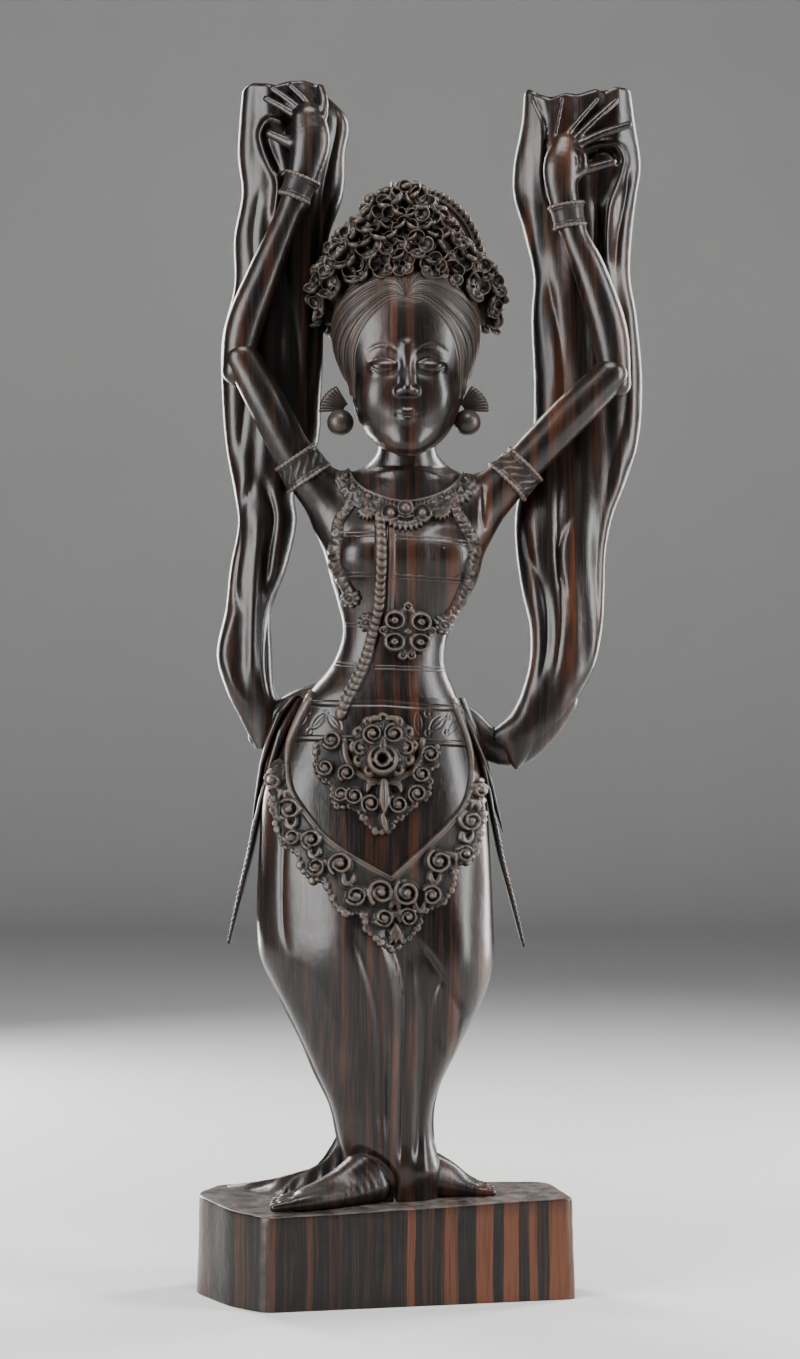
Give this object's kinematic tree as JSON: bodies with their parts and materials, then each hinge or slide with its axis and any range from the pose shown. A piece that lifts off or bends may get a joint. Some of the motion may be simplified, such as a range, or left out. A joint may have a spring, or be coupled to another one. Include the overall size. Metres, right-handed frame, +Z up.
{
  "type": "carved wooden dancer figure",
  "caption": "Standing female dancer with raised arms and hanging scarves on a low base, carved from one block of dark striped wood; a free-standing ornament.",
  "frame": {"origin": "centre of the bounding box on the underside of the base", "axes": "+Z up, the dancer faces -Y, -X is the viewer's left"},
  "size_m": [0.22, 0.0934, 0.5955],
  "materials": {
    "ebony": "satin polished dark ebony with vertical red-brown stripes"
  },
  "bodies": {
    "root": {"wooden_dancer": "ebony"}
  },
  "joints": []
}
